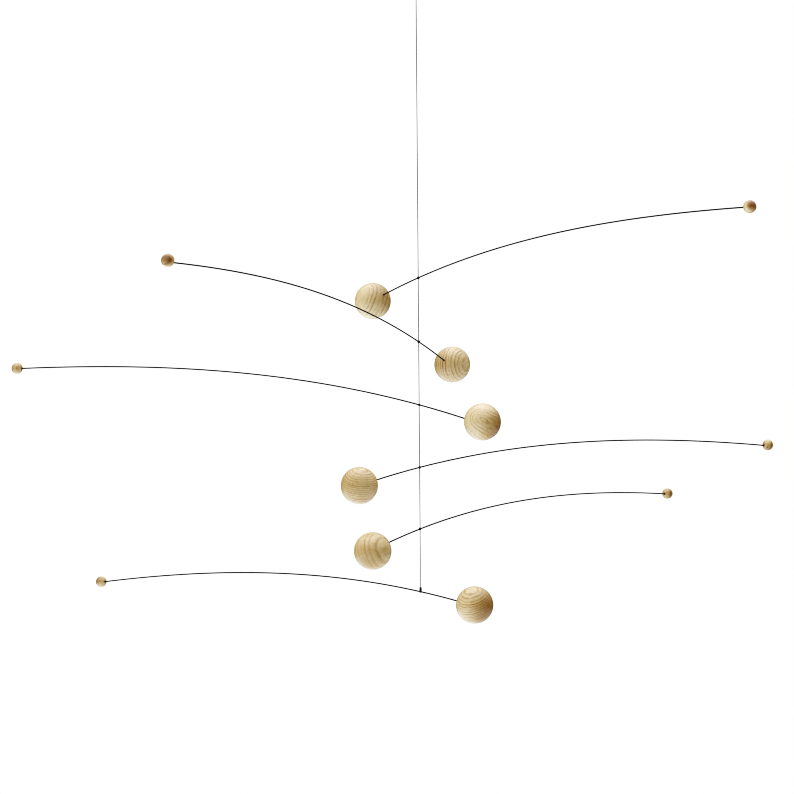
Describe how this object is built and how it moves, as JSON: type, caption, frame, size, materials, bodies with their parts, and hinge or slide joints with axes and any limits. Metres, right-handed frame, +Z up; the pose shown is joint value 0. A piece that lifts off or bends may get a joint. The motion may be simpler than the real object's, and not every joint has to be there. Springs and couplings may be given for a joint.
{
  "type": "hanging mobile sculpture",
  "caption": "Ceiling mobile: curved black wires, each with a large and a small wooden ball, balanced one below another on a single hanging thread so that each turns freely.",
  "frame": {"origin": "inside of the crown of the thread's hanging loop, where the loop bears on its hook; the thread runs straight down from it", "axes": "+Z up along the thread, +X towards the right of the picture, +Y away from the viewer"},
  "size_m": [0.6673, 0.6114, 0.5455],
  "materials": {
    "balls": "satin",
    "wires": "satin",
    "thread": "matte",
    "sleeve": "satin"
  },
  "bodies": {
    "thread": {"hanging_loop": "thread", "loop_knot": "thread", "thread_1": "thread", "thread_2": "thread", "thread_3": "thread", "thread_4": "thread", "thread_5": "thread", "thread_6": "thread"},
    "arm_1": {"arm_1_wire": "wires", "arm_1_big_ball": "balls", "arm_1_small_ball": "balls", "arm_1_knot": "thread"},
    "arm_2": {"arm_2_wire": "wires", "arm_2_big_ball": "balls", "arm_2_small_ball": "balls", "arm_2_knot": "thread"},
    "arm_3": {"arm_3_wire": "wires", "arm_3_big_ball": "balls", "arm_3_small_ball": "balls", "arm_3_knot": "thread"},
    "arm_4": {"arm_4_wire": "wires", "arm_4_big_ball": "balls", "arm_4_small_ball": "balls", "arm_4_knot": "thread"},
    "arm_5": {"arm_5_wire": "wires", "arm_5_big_ball": "balls", "arm_5_small_ball": "balls", "arm_5_knot": "thread"},
    "arm_6": {"arm_6_wire": "wires", "arm_6_big_ball": "balls", "arm_6_small_ball": "balls", "thread_end_sleeve": "sleeve"}
  },
  "joints": [
    {"name": "arm_1_turn", "type": "hinge", "parent": "thread", "child": "arm_1", "pos_m": [0, 0, -0.2633], "axis": [0, 0, 1], "continuous": true},
    {"name": "arm_2_turn", "type": "hinge", "parent": "thread", "child": "arm_2", "pos_m": [0, 0, -0.3158], "axis": [0, 0, 1], "continuous": true},
    {"name": "arm_3_turn", "type": "hinge", "parent": "thread", "child": "arm_3", "pos_m": [0, 0, -0.3675], "axis": [0, 0, 1], "continuous": true},
    {"name": "arm_4_turn", "type": "hinge", "parent": "thread", "child": "arm_4", "pos_m": [0, 0, -0.4187], "axis": [0, 0, 1], "continuous": true},
    {"name": "arm_5_turn", "type": "hinge", "parent": "thread", "child": "arm_5", "pos_m": [0, 0, -0.469], "axis": [0, 0, 1], "continuous": true},
    {"name": "arm_6_turn", "type": "hinge", "parent": "thread", "child": "arm_6", "pos_m": [0, 0, -0.5202], "axis": [0, 0, 1], "continuous": true}
  ]
}
